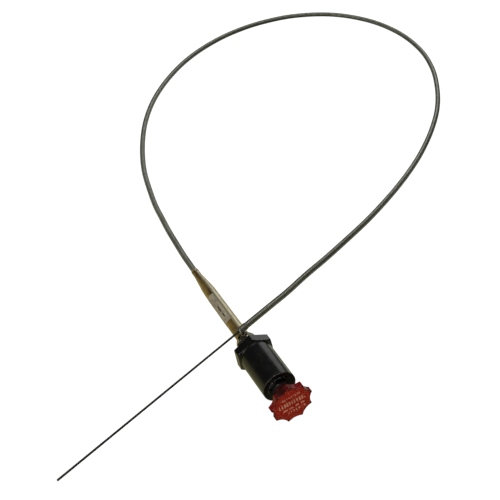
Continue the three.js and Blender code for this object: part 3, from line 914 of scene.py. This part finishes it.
def wind_conduit(settings, ferrule):
    """Half-round wire wound at an even pitch, with a plain bore."""
    route, reach = full_route()
    sides, outer, bore = 14, mm(settings.diameter) / 2, mm(settings.bore) / 2
    ridge = mm(settings.ridge)
    along, phase, quads = spiral(reach, mm(settings.pitch), ROWS_PER_TURN, sides)
    angles = round_angles(sides)
    lift = np.where(phase < 0, 0.5, wound(phase))
    shell = sleeve(
        route, along, np.broadcast_to(angles, along.shape), outer - ridge * (1 - lift))
    inner = np.linspace(reach, 0, BORE_ROWS)
    inner = np.concatenate([[reach], inner, [0]])[:, None] + np.zeros(sides)
    radius = np.full(inner.shape, bore)
    radius[[0, -1]] = outer - ridge * 0.5
    lining = sleeve(route, inner, np.broadcast_to(angles, inner.shape), radius)
    # Painted shade: the last stretch, which crosses back by the head, and the top of the loop take
    # the darker steel.
    shaded_stretches = np.clip((along - LAST_STRETCH) / 200, 0, 1)
    shaded_stretches += 0.9 * np.exp(-((along - LOOP_TOP) / 170) ** 2)
    conduit = make_piece("conduit_spiral", [
        (shell, quads, {
            "edge": np.where(phase < 0, 0, lift ** 4), "hollow": (1 - lift) ** 0.7,
            "stain": shaded_stretches}),
        (lining, net(*lining.shape[:2]), {"hollow": 1.0}),
    ], crease=70)
    ride_on(conduit, "housing", "spiral_steel", "spiral_steel", "conduit")


def draw_wire(settings):
    """A straight drawn wire, its tip cut square."""
    seat = wire_axes()
    free = np.linalg.norm(ROUTE[-1] - WIRE_TIP)
    radius = mm(settings.wire) / 2
    wire = lathe("bare_wire", [
        (0, -free), (radius, -free, 0.06), (radius, WIRE_TUCKED, 0.1), (0, WIRE_TUCKED),
    ], round_angles(20), seat=seat, closed=False, reach=0.3)
    ride_on(wire, "wire_end", "dark_wire", "dark_wire", "exposed_wire")
    path = place(0.0, np.linspace(-free, WIRE_TUCKED, 60), 0.0, **seat)


# Knob and plunger

def mould_knob(knob):
    """The lobed outline carried from face to back, then the neck, then the insert's hollow."""
    angles, outline, tips = lobed_outline(knob)
    front, back = -mm(knob.reach), mm(knob.thickness) - mm(knob.reach)

    def shade(profile, marks):
        radius, along = profile[..., 0], profile[..., 1]
        near_face = along < front + 0.9
        on_face = (along < front + 0.1) & (radius < outline - 0.2)
        on_wall = (radius > 15) & (along > front + 0.2)
        # The neck is darkened as painted shade, for the shade between the barrel and the disc.
        on_neck = (radius < 9.5) & (along > back - 0.2)
        rim = np.clip((radius - outline + 1.3 + tips) / 0.9, 0, 1) * near_face
        # The wall of the flute at this angle is darkened as painted shade, for the barrel's shadow
        # on it.
        turn = np.degrees(angles) - SHADED_FLUTE
        flute = np.exp(-(turn / 18) ** 4) * (along > front + 0.9)
        dirt_and_shade = on_neck * 0.92 + rim * (0.3 + 0.6 * tips) + 0.97 * flute * on_wall
        return profile, {
            "face": on_face.astype(float),
            "edge": np.maximum(marks["edge"], np.where(on_wall, tips * 0.9, 0)),
            "hollow": np.clip(np.maximum(marks["hollow"], dirt_and_shade), 0, 1),
        }

    corners = [
        (0, front), (outline - 1.8, front), (outline, front, 0.55), (outline, front + 1.6),
        (outline, back, 0.45), (8.6, back, 0.9), (7.5, -4.5, 0.5),
        (4, -4.5, 0.25), (4, -5.7), (6.5, -5.7), (6.5, -19.5), (0, -19.5),
    ]
    body = lathe("knob_lobed", corners, angles, bend=shade, closed=False, reach=0.35)
    ride_on(body, "knob_and_plunger", "red_plastic", "red_plastic", "knob")


def raise_bars(knob):
    """Plain bars in rows across the face, whose lengths follow a sine of where they start."""
    # Height, half width, starts and mean length of each row.
    rows = (
        (8.4, 1.0, np.arange(-7.2, 8.0, 1.85), 1.25),
        (2.3, 2.1, np.arange(-11.4, 11.0, 2.2), 1.55),
        (-3.2, 0.9, np.array([-9.4, -4.0, 1.4, 6.8]), 4.6),
        (-7.4, 1.25, np.arange(-5.4, 9.0, 2.3), 1.6),
    )
    starts, stops, heights, halves = np.concatenate([
        np.broadcast_arrays(start, start + mean * (0.9 + 0.25 * np.sin(2.4 * start)), height, half)
        for height, half, start, mean in rows], axis=1)
    middle = np.stack([(starts + stops) / 2, heights], axis=-1)
    half = np.stack([(stops - starts) / 2, halves], axis=-1)
    tilt = np.arctan2(0.257, 0.9855)
    parts = bars(middle, half, mm(knob.mark_height), tilt, -mm(knob.reach))
    marks = make_piece("knob_raised_bars", parts, crease=50)
    ride_on(marks, "knob_and_plunger", "red_plastic", "rubbed_marks")


def cut_thread(settings):
    """Stud, threaded length and hollow tail, all on the same columns."""
    sides, front, back = 32, -0.6, 52.0
    angles = round_angles(sides)
    crest, depth = mm(settings.radius), mm(settings.depth)
    middle = crest - depth / 2
    along, phase, quads = spiral(back - front, mm(settings.pitch), ROWS_PER_TURN, sides)
    rise = np.where(phase < 0, 0.5, np.clip(1.35 * (1 - np.abs(2 * phase - 1)), 0, 1))
    thread = np.stack([crest - depth * (1 - rise), along + front], axis=-1)

    def plain(corners):
        rows, edge, hollow = eased(corners, sides, closed=False)
        return turned(rows, angles), net(*rows.shape[:2]), {"edge": edge, "hollow": hollow}

    plunger = make_piece("plunger_threaded", [
        plain([
            (0, -18.9), (3.7, -18.9, 0.5), (3.7, front - 0.4), (middle, front - 0.4),
            (middle, front)]),
        (turned(thread, angles), quads, {"edge": rise ** 3 * 0.8, "hollow": (1 - rise) ** 2}),
        plain([
            (middle, back), (crest, back + 0.4), (crest, 88), (3.4, 88), (3.4, 81.2), (0, 81.2)]),
    ], crease=60)
    ride_on(plunger, "knob_and_plunger", "plain_steel", "plain_steel", "plunger")


def cut_lock_nut():
    """Hexagon nut that locks the knob on the plunger's stud."""
    front, back, corner = -4.2, -1.3, 0
    angles = hexagon_angles(corner)
    nut = nut_corners(13, front, back, angles, corner, 0.6)
    nut = lathe("knob_lock_nut_hexagon", [(4, front), *nut, (4, back)], angles, reach=0.3)
    ride_on(nut, "knob_and_plunger", "black_finish", "black_finish", "knob_lock_nut")


# Barrel and fasteners

def turn_barrel(settings):
    """Barrel, flange, nose and stepped bore in one profile; a cone trims the flange's front."""
    angles = hexagon_angles(FLANGE_CORNER)
    radius, flats = mm(settings.radius), mm(settings.flange_flats)
    face, front, *_ = nut_corners(
        flats, FLANGE_FRONT, FLANGE_BACK, angles, FLANGE_CORNER, mm(settings.flange_chamfer))
    outline = hexagon(flats, angles, FLANGE_CORNER)
    corners = [
        (10.5, 0, 0.2), (radius, 0, 0.35), (radius, FLANGE_FRONT, 0.4), face, front,
        (outline, FLANGE_BACK, 0.2), (12, FLANGE_BACK), (12, 48.3), (7, 48.3), (7, 56.8),
        (6.4, 57.4), (6, 57.4), (6, 49.7), (4.9, 49.7), (4.9, 36), (10.5, 36),
    ]
    barrel = lathe("barrel_flanged", corners, angles)
    ride_on(barrel, "housing", "black_finish", "black_finish", "barrel")


def turn_bush():
    """A flat collar with two round pin holes, sunk where a point is near their middles."""
    angles = round_angles(240)
    face, pins, pin_radius, pin_depth = -0.8, 7.4, 0.95, 2.5

    def sink(profile, marks):
        radius, along = profile[..., 0], profile[..., 1]
        away = np.hypot(radius * np.abs(np.cos(angles)) - pins, radius * np.sin(angles))
        hole = np.clip((pin_radius - away) / 0.12, 0, 1) * (along < 0)
        marks["hollow"] = np.maximum(marks["hollow"], hole)
        return np.stack([radius, along + hole * pin_depth], axis=-1), marks

    pinned = [(r, face, 0) for r in np.arange(6.2, 8.7, 0.12)]
    corners = [(4.9, face, 0.4), *pinned, (10.2, face, 0.35), (10.2, 9), (4.9, 9)]
    bush = lathe("front_bush_collar", corners, angles, bend=sink, reach=0.2)
    ride_on(bush, "housing", "black_finish", "black_finish", "front_bush")


def twist_washer():
    """A flat ring whose teeth stand out and lean, as sine waves of the angle."""
    count, front, back = 12, 48.95, 49.75
    angles = round_angles(count * 16)
    tooth = np.clip(0.5 + 1.7 * np.cos(count * angles), 0, 1)
    lean = 0.3 * tooth * np.sin(count * angles)
    rim = 8.9 + 1.3 * tooth
    corners = [
        (7.3, front), (8.8, front), (rim, front + lean), (rim, back + lean), (8.8, back),
        (7.3, back)]
    washer = lathe("lock_washer_toothed", corners, angles, reach=0.15)
    ride_on(washer, "housing", "plain_steel", "plain_steel", "lock_washer")


def cut_panel_nut():
    """Hexagon nut behind the flange, in line with it."""
    front, back = 50.4, 56.4
    angles = hexagon_angles(FLANGE_CORNER)
    nut = nut_corners(19, front, back, angles, FLANGE_CORNER, 0.9)
    corners = [(7.3, front, 0.3), *nut, (7.3, back, 0.3)]
    nut = lathe("panel_nut_hexagon", corners, angles, bend=shaded_on_top(angles))
    ride_on(nut, "housing", "yellow_plate", "bright_plate", "panel_nut")


def cut_tube_nut():
    """Hexagon nut with a spigot in front, which holds the guide tube in the nose."""
    front, back, corner = 57.7, 62.6, 26
    angles = hexagon_angles(corner)
    nut = nut_corners(15, front, back, angles, corner, 0.7)
    corners = [
        (4.9, 50), (5.7, 50), (5.7, front), *nut, (5.9, back, 0.2), (5.9, 58.4), (4.9, 58.4)]
    nut = lathe("tube_nut_hexagon", corners, angles, bend=shaded_on_top(angles), reach=0.35)
    ride_on(nut, "housing", "yellow_plate", "bright_plate", "tube_nut")


# Guide tube and label

def draw_tube(settings):
    """Two tapers drawn down to the conduit's neck, with a rolled groove near the end."""
    front, middle, neck = (
        mm(r) for r in (settings.front_radius, settings.middle_radius, settings.neck_radius))
    corners = [
        (4.9, 58.7), (front, 58.7), (front, TAPER_FRONT, 1.5), (middle, TAPER_BACK, 5),
        (neck, 157.5, 1.2), (neck, GROOVE - 1, 0.3), (neck - 0.4, GROOVE, 0.3),
        (neck, GROOVE + 1, 0.3), (neck - 0.15, 165.5, 0.4), (2.85, 165.5), (2.85, 160.4),
        (1.6, 160), (3.9, 126), (4.2, 98), (4.9, 96),
    ]
    angles = round_angles(72)

    def stain(profile, marks):
        around, along = np.degrees(angles), profile[..., 1]
        # Painted light round the tube: below 96 degrees, on the right and underneath, the plate
        # stays pale as painted highlight; the rest takes the darker plate as painted shade, and a
        # thin line at 65 degrees is a painted dark reflection.
        side = np.clip((around - 96) / 12, 0, 1) * np.clip((250 - around) / 30, 0, 1)
        side += 0.6 * np.exp(-((around - 65) / 5) ** 2)
        rolled = np.exp(-((along - GROOVE) / 0.6) ** 2)
        clean = 1 - 0.8 * np.exp(-((along - 164.3) / 0.8) ** 2)
        # A painted dark band along the middle, at 113 degrees, where the tube reflects dark
        # surroundings.
        streak = 0.6 * np.exp(-((around - 113) / 14) ** 2)
        return profile, {
            **marks, "stain": np.maximum(side * clean, rolled), "streak": streak * clean,
            "hollow": np.maximum(marks["hollow"], rolled)}

    tube = lathe("guide_tube_tapered", corners, angles, bend=stain, reach=0.5)
    ride_on(tube, "housing", "yellow_plate", "yellow_plate", "guide_tube")


def wrap_label(settings):
    """The label, and two dashes on it as thin raised plates."""
    front, middle = mm(settings.front_radius), mm(settings.middle_radius)

    def tube_radius(along):
        return front + (middle - front) * (along - TAPER_FRONT) / (TAPER_BACK - TAPER_FRONT)

    label = make_piece("data_label_blank", [
        wrapped_plate(86, 123.5, 104, 228, tube_radius, 0.02, 0.12, 1.2)])
    ride_on(label, "housing", "label_foil", "label_foil", "data_label")
    dashes = make_piece("data_label_dashes", [
        wrapped_plate(front, back, 131, 143, tube_radius, 0.12, 0.04, 0.3)
        for front, back in ((92.2, 97.6), (99.4, 107))
    ])
    ride_on(dashes, "housing", "label_foil", "label_ink")


# Operators

class CONTROL_OT_stage(bpy.types.Operator):
    """Set the camera, the pale floor and the soft studio lights"""

    bl_idname = "control.stage"
    bl_label = "Stage and Camera"

    def execute(self, context):
        settings = context.scene.engine_control.stage
        set_camera(context)
        lay_floor(settings)
        hang_lights(context, settings)
        return {"FINISHED"}


class CONTROL_OT_cable(bpy.types.Operator):
    """Wind the spiral conduit along its route and draw the bare wire out of its crimped ferrule"""

    bl_idname = "control.cable"
    bl_label = "Conduit, Ferrule and Wire"

    def execute(self, context):
        settings = context.scene.engine_control.conduit
        wind_conduit(settings, crimp_ferrule())
        draw_wire(settings)
        return {"FINISHED"}


class CONTROL_OT_knob(bpy.types.Operator):
    """Make the lobed knob with its neck, and the raised bars on its worn face"""

    bl_idname = "control.knob"
    bl_label = "Knob"

    def execute(self, context):
        mould_knob(context.scene.engine_control.knob)
        raise_bars(context.scene.engine_control.knob)
        return {"FINISHED"}


class CONTROL_OT_plunger(bpy.types.Operator):
    """Cut the plunger's thread, and make the nut that locks the knob"""

    bl_idname = "control.plunger"
    bl_label = "Plunger and Lock Nut"

    def execute(self, context):
        cut_thread(context.scene.engine_control.plunger)
        cut_lock_nut()
        return {"FINISHED"}


class CONTROL_OT_barrel(bpy.types.Operator):
    """Turn the barrel with its hexagonal flange and nose, and the bush in its mouth"""

    bl_idname = "control.barrel"
    bl_label = "Barrel and Front Bush"

    def execute(self, context):
        turn_barrel(context.scene.engine_control.barrel)
        turn_bush()
        return {"FINISHED"}


class CONTROL_OT_fasteners(bpy.types.Operator):
    """Make the toothed lock washer, the panel nut and the tube nut"""

    bl_idname = "control.fasteners"
    bl_label = "Washer and Nuts"

    def execute(self, context):
        twist_washer()
        cut_panel_nut()
        cut_tube_nut()
        return {"FINISHED"}


class CONTROL_OT_tube(bpy.types.Operator):
    """Draw the tapered guide tube, and wrap the blank label with its two dashes round it"""

    bl_idname = "control.tube"
    bl_label = "Guide Tube and Label"

    def execute(self, context):
        draw_tube(context.scene.engine_control.tube)
        wrap_label(context.scene.engine_control.tube)
        return {"FINISHED"}


class CONTROL_OT_inner_parts(bpy.types.Operator):
    """Give the parts inside the barrel, the tube and the knob their metals and felt"""

    bl_idname = "control.inner_parts"
    bl_label = "Inner Parts"

    def execute(self, context):
        slots = {row["node"]: row["material_slot"] for row in frame["record"]["subparts"]}
        for node in frame["nodes"].values():
            if node.hide_render:
                continue
            name = node["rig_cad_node"]
            if name not in slots:
                raise RuntimeError(f"{name} has no material slot")
            node.data.materials.clear()
            node.data.materials.append(finish(slots[name]))
        return {"FINISHED"}


class CONTROL_PT_panel(bpy.types.Panel):
    """Lists the pieces and their settings"""

    bl_idname = "CONTROL_PT_panel"
    bl_label = "Push-Pull Control"
    bl_space_type = "VIEW_3D"
    bl_region_type = "UI"
    bl_category = "Control"

    def draw(self, context):
        control = context.scene.engine_control
        for operator, settings in zip(OPERATORS, SETTINGS_OF):
            box = self.layout.box()
            box.operator(operator.bl_idname)
            if settings:
                group = getattr(control, settings)
                for key in group.bl_rna.properties.keys():
                    if key not in ("rna_type", "name"):
                        box.prop(group, key)


# In the order in which they run, with the settings that each shows in the panel.
OPERATORS = (
    CONTROL_OT_stage, CONTROL_OT_cable, CONTROL_OT_knob, CONTROL_OT_plunger, CONTROL_OT_barrel,
    CONTROL_OT_fasteners, CONTROL_OT_tube, CONTROL_OT_inner_parts,
)
SETTINGS_OF = ("stage", "conduit", "knob", "plunger", "barrel", None, "tube", None)
CLASSES = (
    KnobSettings, BarrelSettings, PlungerSettings, TubeSettings, ConduitSettings, StageSettings,
    ControlSettings, *OPERATORS, CONTROL_PT_panel,
)


def register():
    for each in CLASSES:
        bpy.utils.register_class(each)
    bpy.types.Scene.engine_control = bpy.props.PointerProperty(type=ControlSettings)


def unregister():
    del bpy.types.Scene.engine_control
    for each in reversed(CLASSES):
        bpy.utils.unregister_class(each)


def main():
    register()
    for operator in OPERATORS:
        getattr(bpy.ops.control, operator.bl_idname.split(".")[1])()


if __name__ == "__main__":
    main()
